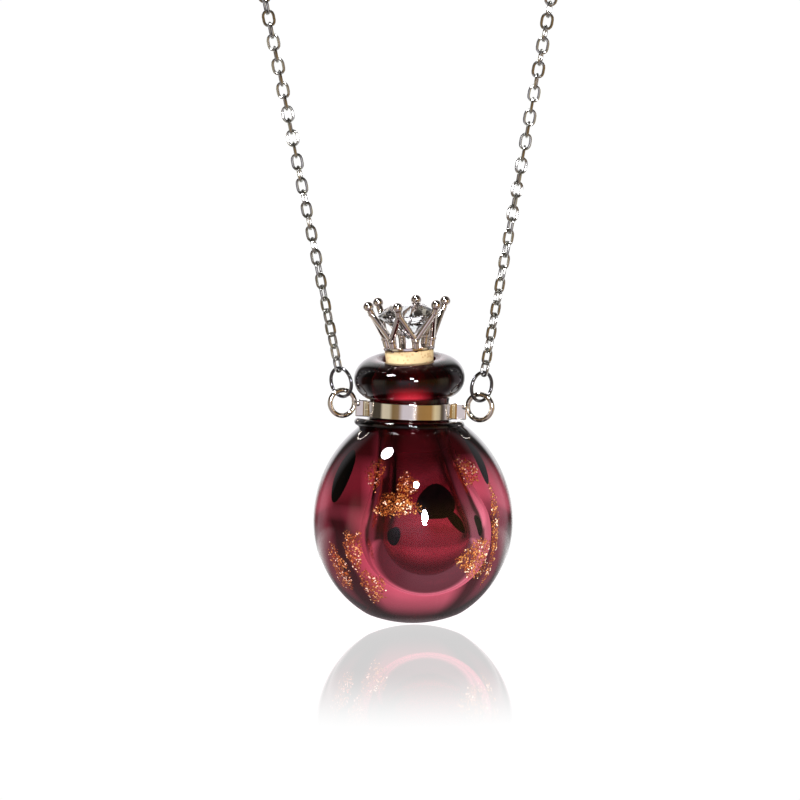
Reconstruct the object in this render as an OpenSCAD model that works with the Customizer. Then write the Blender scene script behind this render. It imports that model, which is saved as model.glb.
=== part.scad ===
/* [Necklace loop] */
// Radius of the top of the loop, where it lies round the back of the neck
loop_r = 33.2; // [28:0.1:40]
// Angle of each hanging strand from the vertical
strand_angle = 10.6; // [8:0.1:14]
// Sideways tilt of the pendant's collar, its right side lower
collar_tilt = 2.4; // [0:0.1:4]

/* [Chain] */
// Number of links in each strand
link_count = 120; // [100:1:120]
// Thickness of a link's wire
link_wire = 0.3; // [0.24:0.01:0.32]
// Width of a link across its two sides
link_w = 1.6; // [1.4:0.05:1.8]
// Slack left between two links where they bear on each other
link_slack = 0.1; // [0.1:0.01:0.14]
// Turn of every second link against its neighbour
link_turn = 75; // [70:1:90]
// Twist of the strand at its lower end
end_twist = 50; // [0:1:60]
// Length of strand over which the twist builds up
twist_run = 45; // [20:1:100]

/* [Clasp] */
// Length of the clasp's barrel
clasp_len = 7; // [5:0.5:10]
// Radius of the clasp's barrel
clasp_r = 1.3; // [1:0.1:1.6]
// Radius of the wire circle of the clasp's end rings
clasp_ring_r = 1.06; // [0.96:0.02:1.2]
// Radius of the wire of the clasp's end rings
clasp_wire_r = 0.22; // [0.18:0.01:0.25]

/* [Jump rings] */
// Radius of a jump ring, to the middle of its wire
jump_r = 1.82; // [1.6:0.02:2]
// Radius of a jump ring's wire
jump_wire_r = 0.22; // [0.18:0.01:0.26]
// Turn of the jump rings about their strand
jump_turn = 46; // [40:1:55]
// Slack between a jump ring and the loop that it carries
jump_slack = 0.28; // [0.2:0.01:0.3]

/* [Collar] */
// Outer radius of the band round the neck
band_r = 5.45; // [5.3:0.05:5.6]
// Thickness of the band's strip
band_t = 0.4; // [0.3:0.05:0.45]
// Height of the band
band_h = 2.05; // [1.6:0.05:2.1]
// Thickness of the side tabs, two strips together
tab_t = 0.9; // [0.8:0.05:1]
// Radius of the bend between band and tab
tab_bend_r = 0.6; // [0.3:0.05:0.8]
// Distance of the left loop's centre from the band's axis
left_loop_x = 8.45; // [8.3:0.05:9]
// Distance of the right loop's centre from the band's axis
right_loop_x = 8.75; // [8.3:0.05:9]
// Height of the loops' centres above the band's middle
loop_up = 0.58; // [0:0.02:0.8]
// Radius of a side loop, to the middle of its wire
side_loop_r = 1.6; // [1.5:0.02:1.7]
// Radius of a side loop's wire
side_wire_r = 0.33; // [0.28:0.01:0.36]
// Turn of the side loops about the vertical
side_turn = 20; // [10:1:25]
// Radius of the solder bead between tab and loop
bead_r = 0.56; // [0.5:0.02:0.6]

/* [Bottle] */
// Greatest radius of the round body
body_r = 12.5; // [12.2:0.1:12.8]
// Radius of the body's upper curve
upper_arc_r = 15.1; // [14.6:0.1:15.6]
// Radius of the body's lower curve
lower_arc_r = 13.5; // [13.3:0.1:13.8]
// Radius of the flatter curve across the bottom
base_arc_r = 15.1; // [14.5:0.1:16]
// Depth of the bottom below the body's widest line
base_drop = 12.8; // [12.6:0.05:13]
// Height of the collar's middle above the body's widest line
neck_rise = 13.95; // [13.8:0.05:14.2]
// Offset of the body to the right of the neck
body_shift = 0.27; // [0:0.01:0.4]
// Radius of the neck in the groove that the band lies in
neck_r = 4.88; // [4.7:0.02:4.9]
// Radius of the glass ridge below the band, to the middle of its section
ridge_r = 6.42; // [6.3:0.02:6.5]
// Section radius of the ridge
ridge_sec_r = 0.5; // [0.4:0.02:0.52]
// Radius of the lip, to the middle of its section
lip_r = 4.35; // [4.2:0.05:4.4]
// Section radius of the rounded lip
lip_sec_r = 2.6; // [2.5:0.05:2.65]
// Height of the lip's middle above the collar's middle
lip_up = 3.93; // [3.9:0.01:4]
// Sideways tilt of the lip, its left side lower
lip_tilt = 1; // [0:0.1:2]

/* [Hollow] */
// Radius of the round hollow inside the body
hollow_r = 5.5; // [5:0.1:6]
// Offset of the hollow's centre to the right of the body's centre
hollow_x = 1.1; // [0:0.1:1.4]
// Depth of the hollow's centre below the body's widest line
hollow_drop = 1.1; // [0:0.1:1.5]
// Radius of the bore through the neck
bore_r = 3.1; // [3:0.05:3.15]
// Radius of the mouth that the stopper goes into
mouth_r = 3.24; // [3.22:0.02:3.3]
// Depth of the mouth below the crown's seat
mouth_depth = 5.4; // [5.2:0.1:5.6]

/* [Stopper] */
// Height of the crown's seat above the collar's middle
seat_up = 7.6; // [7.4:0.05:7.8]
// Sideways tilt of the stopper, its left side lower
stopper_tilt = 2.2; // [0:0.1:3]
// Lean of the stopper's top towards the viewer
stopper_lean = 3; // [0:0.1:4]
// Radius of the cork at its top
cork_r = 3.06; // [3:0.02:3.1]
// Radius of the cork at its lower end
cork_end_r = 2.74; // [2.6:0.02:2.8]
// Length of the cork
cork_len = 5; // [4.6:0.1:5.1]

/* [Crown] */
// Number of prongs
prong_count = 6; // [6:1:6]
// Turn of the front prong away from straight ahead, towards the left
prong_start = 13.7; // [0:0.1:30]
// Radius of the crown's base
base_r = 3.25; // [3.2:0.01:3.3]
// Thickness of the base plate
base_t = 0.4; // [0.35:0.01:0.5]
// Height of the points where neighbouring legs meet
valley_z = 1.3; // [1.2:0.05:1.4]
// Radius of the circle of those points
valley_r = 3.0; // [2.95:0.01:3.05]
// Height where a prong's two legs join
apex_z = 4.65; // [4.5:0.05:4.8]
// Radius of the circle of those joins
apex_r = 4.62; // [4.5:0.02:4.7]
// Radius of a prong's leg
leg_r = 0.34; // [0.28:0.01:0.36]
// Height of the ball tips
tip_z = 5.65; // [5.5:0.05:5.8]
// Radius of the circle of ball tips
tip_ring_r = 5.0; // [4.9:0.02:5.1]
// Radius of a ball tip
tip_r = 0.62; // [0.55:0.01:0.65]

/* [Stone] */
// Radius of the stone at its girdle
stone_r = 3.72; // [3.5:0.02:3.74]
// Height of the girdle above the crown's seat
girdle_z = 4.3; // [4.25:0.01:4.4]
// Height of the girdle's edge
girdle_t = 0.14; // [0.08:0.01:0.18]
// Height of the stone's upper facets
stone_top_h = 1.2; // [1:0.05:1.3]
// Depth of the stone's lower facets
stone_low_h = 3.1; // [2.9:0.05:3.2]
// Radius of the table as a share of the girdle's
table_share = 0.56; // [0.5:0.01:0.6]
// Turn of the stone's facets in the crown
stone_turn = 11; // [0:1:22]

/* [Hidden] */
$fn = 48;

silver = [0.80, 0.80, 0.79];
dark_silver = [0.66, 0.66, 0.65];
burgundy = [0.42, 0.08, 0.16, 0.8];
cork_tan = [0.93, 0.80, 0.55];
clear = [0.92, 0.94, 0.95, 0.6];

// The pendant hangs from two hinge points, one inside the top of each side loop.
hinge_span = left_loop_x + right_loop_x;
hinge_x = hinge_span / 2 * cos(collar_tilt);
loop_slip = hinge_span * sin(collar_tilt) / (2 * cos(strand_angle));

// Path of the loop, measured from its top, positive down the right side.
arc_turn = 90 + strand_angle;
arc_len = loop_r * arc_turn * PI / 180;
run_len = (loop_r * cos(strand_angle) - hinge_x) / sin(strand_angle);
half_len = arc_len + run_len;
function turned(s) = min(abs(s), arc_len) / loop_r * 180 / PI;
function run(s) = max(0, abs(s) - arc_len);
function path_x(s) = sign(s) * (loop_r * sin(turned(s)) - run(s) * sin(strand_angle));
function path_z(s) = loop_r * (cos(turned(s)) - 1) - run(s) * cos(strand_angle);
function path_lean(s) = sign(s) * (turned(s) - 90);

right_hinge = [path_x(half_len + loop_slip), 0, path_z(half_len + loop_slip)];
left_hinge = [path_x(loop_slip - half_len), 0, path_z(loop_slip - half_len)];
hinge_mid = (right_hinge + left_hinge) / 2;

// Distances along a strand, up from its hinge point.
hinge_gap = side_wire_r + jump_wire_r + jump_slack;
jump_up = jump_r - hinge_gap;
last_hook = jump_up + jump_r - link_wire / 2 - jump_wire_r - link_slack;
clasp_reach = clasp_len / 2 + 2 * clasp_ring_r - clasp_wire_r;
clasp_hook = clasp_reach - clasp_wire_r - link_wire / 2 - link_slack;
clasp_drop = loop_r * (1 - cos(clasp_reach / loop_r * 180 / PI));
link_pitch = (half_len - last_hook - clasp_hook - link_wire - link_slack) / link_count;
link_len = link_pitch + 2 * link_wire + link_slack;
first_link = clasp_hook + (link_len - link_wire) / 2;

// The collar's middle, the body's centre and the crown's seat.
collar_x = (left_loop_x - right_loop_x) / 2;
collar_drop = side_loop_r + loop_up;
collar_mid = hinge_mid + [collar_x * cos(collar_tilt) - collar_drop * sin(collar_tilt), 0,
                          -collar_x * sin(collar_tilt) - collar_drop * cos(collar_tilt)];
body_mid = collar_mid + [body_shift, 0, -neck_rise];
seat = collar_mid + [0, 0, seat_up];

// Heights inside the bottle, above the body's widest line.
body_cut = neck_rise - 2.05;
neck_top = neck_rise + 3;
ridge_up = -1.68;

// Carries children to a place on the loop, their Z pointing up the strand.
module on_strand(s, turn = 0) {
    translate([path_x(s), 0, path_z(s)])
        rotate([0, path_lean(s), 0])
            rotate([0, 0, turn])
                children();
}

// Carries children to the collar's own frame.
module in_collar() {
    translate(collar_mid)
        rotate([0, collar_tilt, 0])
            children();
}

// Carries children to the stopper's own frame, with the crown's seat at its origin.
module in_stopper() {
    translate(seat)
        rotate([0, -stopper_tilt, 0])
            rotate([stopper_lean, 0, 0])
                children();
}

// A closed ring of round wire, standing in the XZ plane.
module wire_ring(ring_r, wire_r) {
    rotate([90, 0, 0])
        rotate_extrude()
            translate([ring_r, 0])
                circle(wire_r);
}

// One oval link of the chain, standing in the XZ plane.
module link() {
    bend_r = (link_w - link_wire) / 2;
    side_h = link_len - link_w;
    for (end = [0, 180])
        rotate([0, end, 0])
            translate([0, 0, side_h / 2])
                rotate([90, 0, 0])
                    rotate_extrude(angle = 180)
                        translate([bend_r, 0])
                            circle(link_wire / 2, $fn = 16);
    for (side = [-1, 1])
        translate([side * bend_r, 0, 0])
            cylinder(h = side_h, r = link_wire / 2, center = true, $fn = 16);
}

// One strand of links, from the clasp down to its jump ring.
module strand(side) {
    last = first_link + (link_count - 1) * link_pitch;
    for (i = [0 : link_count - 1]) {
        along = first_link + i * link_pitch;
        twist = end_twist * max(0, 1 - (last - along) / twist_run);
        on_strand(side * along + loop_slip, side * (twist + link_turn * (i % 2)))
            link();
    }
}

module chain_left() {
    color(dark_silver)
        strand(-1);
}

module chain_right() {
    color(dark_silver)
        strand(1);
}

// Plain barrel clasp with a ring at each end, at the back of the neck.
module clasp() {
    color(silver)
        on_strand(loop_slip)
            translate([-clasp_drop, 0, 0]) {
                cylinder(h = clasp_len, r = clasp_r, center = true);
                for (end = [-1, 1])
                    translate([0, 0, end * (clasp_reach - clasp_ring_r)])
                        rotate([0, 0, 90])
                            wire_ring(clasp_ring_r, clasp_wire_r);
            }
}

module jump_ring(side) {
    color(silver)
        on_strand(side * (half_len - jump_up) + loop_slip, side * jump_turn)
            wire_ring(jump_r, jump_wire_r);
}

module jump_ring_left() jump_ring(-1);
module jump_ring_right() jump_ring(1);

// Outline of the band and its tabs, seen from above.
module collar_outline() {
    tab_end = side_loop_r * cos(side_turn) + side_wire_r - 0.15;
    bend_x = sqrt(pow(band_r + tab_bend_r, 2) - pow(tab_t / 2 + tab_bend_r, 2));
    difference() {
        union() {
            circle(band_r);
            translate([tab_end - left_loop_x, -tab_t / 2])
                square([hinge_span - 2 * tab_end, tab_t]);
            for (side = [-1, 1])
                for (face = [-1, 1])
                    difference() {
                        polygon([[side * (band_r - 0.5), 0], [side * bend_x, 0],
                                 [side * bend_x, face * (tab_t / 2 + tab_bend_r)],
                                 [side * (band_r - 0.5), face * (tab_t / 2 + tab_bend_r)]]);
                        translate([side * bend_x, face * (tab_t / 2 + tab_bend_r)])
                            circle(tab_bend_r);
                    }
        }
        circle(band_r - band_t);
    }
}

// Polished band with a tab, a solder bead and a loop at each side.
module collar() {
    color(silver)
        in_collar() {
            translate([0, 0, -band_h / 2])
                linear_extrude(band_h)
                    collar_outline();
            for (side = [-1, 1]) {
                loop_x = side < 0 ? left_loop_x : right_loop_x;
                translate([side * loop_x, 0, loop_up])
                    rotate([0, 0, -side * side_turn])
                        wire_ring(side_loop_r, side_wire_r);
                translate([side * (loop_x - side_loop_r - side_wire_r), 0, loop_up])
                    sphere(bead_r);
            }
        }
}

// Half outline of the round body, with its widest line at height zero.
module body_outline() {
    intersection() {
        translate([body_r - upper_arc_r, 0])
            circle(upper_arc_r);
        square([body_r + 1, body_cut]);
    }
    intersection() {
        translate([body_r - lower_arc_r, 0])
            circle(lower_arc_r);
        translate([0, base_arc_r - base_drop])
            circle(base_arc_r);
        translate([0, -base_drop - 1])
            square([body_r + 1, base_drop + 1]);
    }
}

// Half outline of the hollow, about its own axis, with a shoulder up to the neck's bore.
module hollow_outline() {
    reach = neck_rise + hollow_drop - 4;
    intersection() {
        circle(hollow_r);
        translate([0, -hollow_r])
            square([hollow_r, 2 * hollow_r]);
    }
    polygon([[0, 0], [hollow_r * 0.93, hollow_r * 0.3], [bore_r, reach], [0, reach]]);
}

// Hand-blown bottle: round body, ridge, grooved neck and thick rounded lip, hollow inside.
module bottle() {
    hollow_lean = -atan((hollow_x + body_shift) / (neck_rise + hollow_drop - 2));
    color(burgundy)
        difference() {
            union() {
                translate(body_mid)
                    rotate_extrude()
                        body_outline();
                in_collar() {
                    translate([0, 0, body_cut - neck_rise - 1.5])
                        cylinder(h = neck_top - body_cut + 1.5, r = neck_r);
                    translate([0, 0, ridge_up])
                        rotate_extrude() {
                            translate([ridge_r, 0])
                                circle(ridge_sec_r);
                            translate([0, -1])
                                square([ridge_r, 1 + ridge_sec_r * 0.9]);
                        }
                }
                translate(collar_mid + [0, 0, lip_up])
                    rotate([0, -lip_tilt, 0])
                        rotate_extrude()
                            union() {
                                translate([lip_r, 0])
                                    circle(lip_sec_r);
                                translate([0, -lip_sec_r * 0.9])
                                    square([lip_r, lip_sec_r * 1.8]);
                            }
            }
            translate(body_mid + [hollow_x, 0, -hollow_drop])
                rotate([0, hollow_lean, 0])
                    rotate_extrude()
                        hollow_outline();
            translate(collar_mid + [0, 0, -6])
                cylinder(h = 6 + lip_up, r = bore_r);
            in_stopper()
                translate([0, 0, -mouth_depth])
                    cylinder(h = mouth_depth + 2, r = mouth_r);
        }
}

// Pale tapered stopper, its top under the crown.
module cork() {
    color(cork_tan)
        in_stopper()
            translate([0, 0, -cork_len - 0.05])
                cylinder(h = cork_len, r1 = cork_end_r, r2 = cork_r);
}

// A round rod from one point to another, with a ball at its far end.
module rod(from, to, r) {
    way = to - from;
    flat = sqrt(way.x * way.x + way.y * way.y);
    translate(from)
        rotate([0, atan2(flat, way.z), atan2(way.y, way.x)])
            cylinder(h = norm(way), r = r, $fn = 24);
}

function ring_point(r, angle, z) = [r * cos(angle), r * sin(angle), z];

// Six-pointed crown: a base plate, legs that meet in pairs, and a ball on each point.
module crown() {
    step = 360 / prong_count;
    color(silver)
        in_stopper() {
            cylinder(h = base_t, r = base_r);
            for (i = [0 : prong_count - 1]) {
                angle = i * step - 90 - prong_start;
                apex = ring_point(apex_r, angle, apex_z);
                tip = ring_point(tip_ring_r, angle, tip_z);
                valley = ring_point(valley_r, angle + step / 2, valley_z);
                before = ring_point(valley_r, angle - step / 2, valley_z);
                rod(before, apex, leg_r);
                rod(valley, apex, leg_r);
                rod(ring_point(base_r - 0.5, angle + step / 2, base_t / 2), valley, 0.45);
                translate(valley)
                    sphere(0.5, $fn = 24);
                translate(apex)
                    sphere(0.4, $fn = 24);
                rod(apex, tip, 0.37);
                translate(tip)
                    sphere(tip_r, $fn = 32);
            }
        }
}

// Round brilliant: eight-sided table, sixteen-sided girdle and a point below.
module stone() {
    table_r = stone_r * table_share;
    star_r = stone_r * (1 + table_share) / 2 * 1.02;
    table = [for (i = [0:7]) ring_point(table_r, i * 45, stone_top_h + girdle_t / 2)];
    star = [for (i = [0:7]) ring_point(star_r, i * 45 + 22.5, stone_top_h * 0.52 + girdle_t / 2)];
    upper = [for (i = [0:15]) ring_point(stone_r, i * 22.5, girdle_t / 2)];
    lower = [for (i = [0:15]) ring_point(stone_r, i * 22.5, -girdle_t / 2)];
    mains = [for (i = [0:7]) ring_point(stone_r * 0.28, i * 45 + 22.5, -stone_low_h * 0.76)];
    corners = concat(table, star, upper, lower, mains, [[0, 0, -stone_low_h]]);
    color(clear)
        in_stopper()
            translate([0, 0, girdle_z])
                rotate([0, 0, stone_turn])
                    hull()
                        polyhedron(points = corners,
                                   faces = [for (i = [0 : len(corners) - 3]) [i, i + 1, i + 2]]);
}

bottle();
collar();
cork();
crown();
stone();
jump_ring_left();
jump_ring_right();
chain_left();
chain_right();
clasp();
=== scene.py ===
# %% [markdown]
# A small hollow glass bottle hangs from two strands of cable chain. A silver
# collar grips its neck, and a cork with a little crown closes it. The packed
# model gives the size and the place of every part, so it is loaded first and
# stays as it is. The finer surfaces that this file makes stand in for its plain
# ones.

# %% Load the imported model
import bpy
import numpy as np
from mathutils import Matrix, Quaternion, Vector


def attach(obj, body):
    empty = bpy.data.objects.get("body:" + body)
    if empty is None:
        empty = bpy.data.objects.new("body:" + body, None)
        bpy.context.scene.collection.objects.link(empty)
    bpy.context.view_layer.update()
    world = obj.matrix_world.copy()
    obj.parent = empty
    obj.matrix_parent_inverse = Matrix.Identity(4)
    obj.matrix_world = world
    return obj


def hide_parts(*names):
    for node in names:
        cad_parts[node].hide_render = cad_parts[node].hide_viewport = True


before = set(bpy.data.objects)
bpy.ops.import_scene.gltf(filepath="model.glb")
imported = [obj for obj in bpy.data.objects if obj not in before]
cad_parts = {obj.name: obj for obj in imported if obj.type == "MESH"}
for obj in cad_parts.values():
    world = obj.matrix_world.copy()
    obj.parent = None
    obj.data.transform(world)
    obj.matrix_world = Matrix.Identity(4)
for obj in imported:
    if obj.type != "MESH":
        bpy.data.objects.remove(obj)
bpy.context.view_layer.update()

MM = 0.001
rng = np.random.default_rng(7)

# %% [markdown]
# Every part below is a grid of points, worked out for the whole grid at once and
# then joined into four-sided faces. Where a row of the grid shrinks to one point,
# as at the top of a ball, its points are welded and the faces there become
# triangles, so each surface closes without a hole.

# %% Turning and joining helpers
def turn(axis, degrees):
    """Matrix of a turn about one axis: cosine on the turned plane, sine across it."""
    c, s = np.cos(np.radians(degrees)), np.sin(np.radians(degrees))
    i, j = {"x": (1, 2), "y": (2, 0), "z": (0, 1)}[axis]
    m = np.eye(3)
    m[i, i] = m[j, j] = c
    m[i, j], m[j, i] = -s, s
    return m


def skin(points, close_rows=False, close_cols=True):
    """Four-sided faces over a grid of points; a closed direction joins its last line to its first."""
    rows, cols = points.shape[:2]
    index = np.arange(rows * cols).reshape(rows, cols)
    if close_rows:
        index = np.vstack([index, index[:1]])
    if close_cols:
        index = np.hstack([index, index[:, :1]])
    quads = np.stack([index[:-1, :-1], index[:-1, 1:], index[1:, 1:], index[1:, :-1]], -1)
    return points.reshape(-1, 3), quads.reshape(-1, 4)


def outward(points, quads):
    """Turns the faces round if the volume that they enclose comes out negative."""
    a, b, c, d = (points[quads[:, k]] for k in range(4))
    volume = np.einsum("ij,ij->", a, np.cross(b, c)) + np.einsum("ij,ij->", a, np.cross(c, d))
    return (points, quads) if volume > 0 else (points, quads[:, ::-1])


def join(parts):
    """One list of points and one of faces from several, each list's numbers moved past the last."""
    starts = np.cumsum([0] + [len(p) for p, q in parts[:-1]])
    return np.vstack([p for p, q in parts]), np.vstack([q + s for (p, q), s in zip(parts, starts)])


def copies(part, turns, places):
    """The same part at many places: each point times each turn, plus each place."""
    points, quads = part
    many = np.einsum("nij,pj->npi", turns, points) + places[:, None, :]
    faces = quads[None] + (np.arange(len(turns)) * len(points))[:, None, None]
    return many.reshape(-1, 3), faces.reshape(-1, 4)


def placed(part, matrix, place):
    """A part turned by a matrix and moved to its place."""
    points, quads = part
    return points @ np.asarray(matrix).T + place, quads


def piece(name, parts, body, material, replaces=(), sharp=40):
    """Welds the points that share a place and makes one smooth mesh object, in metres."""
    points, quads = join([outward(*p) for p in parts])
    points, back = np.unique(np.round(points, 5), axis=0, return_inverse=True)
    quads = back.ravel()[quads]
    flat = (quads == np.roll(quads, -1, axis=1)).any(1)
    thin = [list(dict.fromkeys(q)) for q in quads[flat].tolist()]
    faces = quads[~flat].tolist() + [f for f in thin if len(f) > 2]
    mesh = bpy.data.meshes.new(name)
    mesh.from_pydata((points * MM).tolist(), [], faces)
    mesh.polygons.foreach_set("use_smooth", np.ones(len(faces), bool))
    mesh.set_sharp_from_angle(angle=np.radians(sharp))
    mesh.materials.append(material)
    obj = bpy.data.objects.new(name, mesh)
    bpy.context.scene.collection.objects.link(obj)
    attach(obj, body)
    if replaces:
        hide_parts(*replaces)
    low, high = points.min(0), points.max(0)
    print(f"{name}: {len(faces)} faces, {np.round(high - low, 1).tolist()} mm")


print("x turned a quarter about z:", np.round(turn("z", 90) @ [1, 0, 0], 3))

# %% [markdown]
# Most parts are round wire, beads or turned forms. Three small shapes cover
# them: a closed ring of wire, a rod with round ends, and a ball.

# %% Wire rings, rods and balls
def ring(ring_r, wire_r, around=64, across=16):
    """Torus in the XZ plane: out from the middle by the ring's radius, plus the wire's own circle."""
    u = np.linspace(0, 2 * np.pi, around, endpoint=False)[:, None]
    v = np.linspace(0, 2 * np.pi, across, endpoint=False)[None]
    out = ring_r + wire_r * np.cos(v)
    return skin(np.stack([out * np.cos(u), wire_r * np.sin(v) + 0 * u, out * np.sin(u)], -1), True)


def turned(radius, height, around=64):
    """A profile turned about Z: each radius times cosine and sine of the angle, at its height."""
    u = np.linspace(0, 2 * np.pi, around, endpoint=False)[None]
    r, h = np.asarray(radius, float)[:, None], np.asarray(height, float)[:, None]
    return skin(np.stack([r * np.cos(u), r * np.sin(u), h + 0 * u], -1))


def rod(start, end, start_r, end_r, around=16, steps=8):
    """Rod with round ends: its radius runs from one end's to the other's and rounds off as a circle."""
    start, end = np.asarray(start, float), np.asarray(end, float)
    length = np.linalg.norm(end - start)
    cap = np.linspace(0, np.pi / 2, 6)
    t = np.linspace(0, 1, steps)
    body_r = start_r + (end_r - start_r) * t
    radius = np.concatenate([start_r * np.sin(cap), body_r[1:-1], end_r * np.cos(cap)])
    height = np.concatenate([-start_r * np.cos(cap), t[1:-1] * length, length + end_r * np.sin(cap)])
    points, quads = turned(radius, height, around)
    z = (end - start) / length
    x = np.cross([0.3, 1, 0.2], z)
    x = x / np.linalg.norm(x)
    return points @ np.array([x, np.cross(z, x), z]) + start, quads


def ball(centre, radius, around=32):
    """Sphere: sine of the height angle for the radius, cosine for the height."""
    a = np.linspace(0, np.pi, around // 2 + 1)
    points, quads = turned(radius * np.sin(a), -radius * np.cos(a), around)
    return points + np.asarray(centre, float), quads


print("faces of a ring and a ball:", len(ring(2, 0.2)[1]), len(ball([0, 0, 0], 1)[1]))

# %% [markdown]
# The places come from a few sizes: the loop of the necklace, the two side loops
# of the collar, and the heights of the bottle's parts. All are in millimetres.
# The collar's right side hangs a little lower, the lip tilts the other way, and
# the stopper leans towards the viewer, as in a piece made by hand.

# %% Places on the loop and on the pendant
LOOP_R, STRAND_ANGLE, COLLAR_TILT = 33.2, 10.6, 2.4
LEFT_LOOP_X, RIGHT_LOOP_X, LOOP_UP = 8.45, 8.75, 0.58
SIDE_LOOP_R, SIDE_WIRE_R, SIDE_TURN = 1.6, 0.33, 20
JUMP_R, JUMP_WIRE_R, JUMP_TURN, JUMP_SLACK = 1.82, 0.22, 46, 0.28
NECK_RISE, BODY_SHIFT, LIP_UP, LIP_TILT = 13.95, 0.27, 3.93, 1
SEAT_UP, STOPPER_TILT, STOPPER_LEAN = 7.6, 2.2, 3
sin_a, cos_a = np.sin(np.radians(STRAND_ANGLE)), np.cos(np.radians(STRAND_ANGLE))
hinge_span = LEFT_LOOP_X + RIGHT_LOOP_X
hinge_x = hinge_span / 2 * np.cos(np.radians(COLLAR_TILT))
loop_slip = hinge_span * np.sin(np.radians(COLLAR_TILT)) / (2 * cos_a)
arc_len = LOOP_R * np.radians(90 + STRAND_ANGLE)
half_len = arc_len + (LOOP_R * cos_a - hinge_x) / sin_a


def on_loop(s):
    """Place and lean on the loop: round the top circle first, then straight down the strand."""
    s = np.asarray(s, float)
    angle = np.minimum(np.abs(s), arc_len) / LOOP_R
    run = np.maximum(0, np.abs(s) - arc_len)
    place = np.stack([np.sign(s) * (LOOP_R * np.sin(angle) - run * sin_a), 0 * s,
                      LOOP_R * (np.cos(angle) - 1) - run * cos_a], -1)
    return place, np.sign(s) * (np.degrees(angle) - 90)


hinge_mid = (on_loop(half_len + loop_slip)[0] + on_loop(loop_slip - half_len)[0]) / 2
collar_turn = turn("y", COLLAR_TILT)
collar_mid = hinge_mid + collar_turn @ [(LEFT_LOOP_X - RIGHT_LOOP_X) / 2, 0, -SIDE_LOOP_R - LOOP_UP]
body_mid = collar_mid + [BODY_SHIFT, 0, -NECK_RISE]
seat = collar_mid + [0, 0, SEAT_UP]
stopper_turn = turn("y", -STOPPER_TILT) @ turn("x", STOPPER_LEAN)
print("collar at", np.round(collar_mid, 2), "body at", np.round(body_mid, 2))

# %% [markdown]
# A material is a small tree of nodes. These helpers make a node and link it in
# one line, so that the cells below read like sums. Polished silver shows little
# of its own colour: what the eye sees is the room in it. A group of two noises
# gives the finish its small life, a faint haze of wear and a slow change of tone,
# and each metal uses it with its own values.

# %% Material helpers and metals
def new_material(name):
    """A material with its Principled shader, both returned."""
    material = bpy.data.materials.new(name)
    material.use_nodes = True
    return material, material.node_tree.nodes["Principled BSDF"]


def add(tree, kind, values=None, **links):
    """A node with its plain settings, and its inputs linked or set by name."""
    node = tree.nodes.new(kind)
    for key, value in (values or {}).items():
        setattr(node, key, value)
    for key, value in links.items():
        socket = node.inputs[int(key[1:])] if key[1:].isdigit() else node.inputs[key.replace("_", " ")]
        if isinstance(value, bpy.types.NodeSocket):
            tree.links.new(value, socket)
        else:
            socket.default_value = value
    return node


def calc(tree, operation, *values):
    """Numbers worked out one after another: the first with the second, that with the third, and so on."""
    result = values[0]
    for value in values[1:]:
        result = add(tree, "ShaderNodeMath", {"operation": operation}, _0=result, _1=value).outputs[0]
    return result


def blend(tree, share, first, second, how="MIX"):
    """Two colours mixed by a share from 0 to 1, or the second laid over the first as the word says."""
    return add(tree, "ShaderNodeMix", {"data_type": "RGBA", "blend_type": how},
               _0=share, _6=first, _7=second).outputs[2]


def ramp_node(tree, value, stops):
    """A colour ramp from a list of positions and colours."""
    node = add(tree, "ShaderNodeValToRGB", Fac=value)
    while len(node.color_ramp.elements) < len(stops):
        node.color_ramp.elements.new(0.5)
    for element, (position, color) in zip(node.color_ramp.elements, stops):
        element.position, element.color = position, (*color, 1)
    return node.outputs["Color"]


def ranged(tree, value, start, end, low=0.0, high=1.0, smooth=False):
    """A number moved from one range to another, and kept inside it."""
    steps = "SMOOTHSTEP" if smooth else "LINEAR"
    node = add(tree, "ShaderNodeMapRange", {"interpolation_type": steps}, Value=value)
    for name, number in (("From Min", start), ("From Max", end), ("To Min", low), ("To Max", high)):
        node.inputs[name].default_value = number
    return node.outputs["Result"]


def object_place(tree):
    """The point's own place in the object, in metres."""
    return add(tree, "ShaderNodeTexCoord").outputs["Object"]


def make_haze_group():
    """Group: a slow noise mixes two tones, and a fine one shifts the roughness."""
    tree = bpy.data.node_groups.new("polish_haze", "ShaderNodeTree")
    for name, kind, start in (("Tone", "NodeSocketColor", (0.8, 0.8, 0.8, 1)),
                              ("Shade", "NodeSocketColor", (0.6, 0.6, 0.6, 1)),
                              ("Roughness", "NodeSocketFloat", 0.1),
                              ("Haze", "NodeSocketFloat", 0.05)):
        tree.interface.new_socket(name, in_out="INPUT", socket_type=kind).default_value = start
    tree.interface.new_socket("Color", in_out="OUTPUT", socket_type="NodeSocketColor")
    tree.interface.new_socket("Roughness", in_out="OUTPUT", socket_type="NodeSocketFloat")
    given, out = tree.nodes.new("NodeGroupInput"), tree.nodes.new("NodeGroupOutput")
    place = object_place(tree)
    slow = add(tree, "ShaderNodeTexNoise", Vector=place, Scale=450.0, Detail=2.0)
    fine = add(tree, "ShaderNodeTexNoise", Vector=place, Scale=2600.0, Detail=4.0)
    color = blend(tree, slow.outputs["Fac"], given.outputs["Tone"], given.outputs["Shade"])
    haze = add(tree, "ShaderNodeMath", {"operation": "MULTIPLY_ADD"}, _0=fine.outputs["Fac"],
               _1=given.outputs["Haze"], _2=given.outputs["Roughness"])
    tree.links.new(color, out.inputs["Color"])
    tree.links.new(haze.outputs[0], out.inputs["Roughness"])
    return tree


haze_group = make_haze_group()


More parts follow.
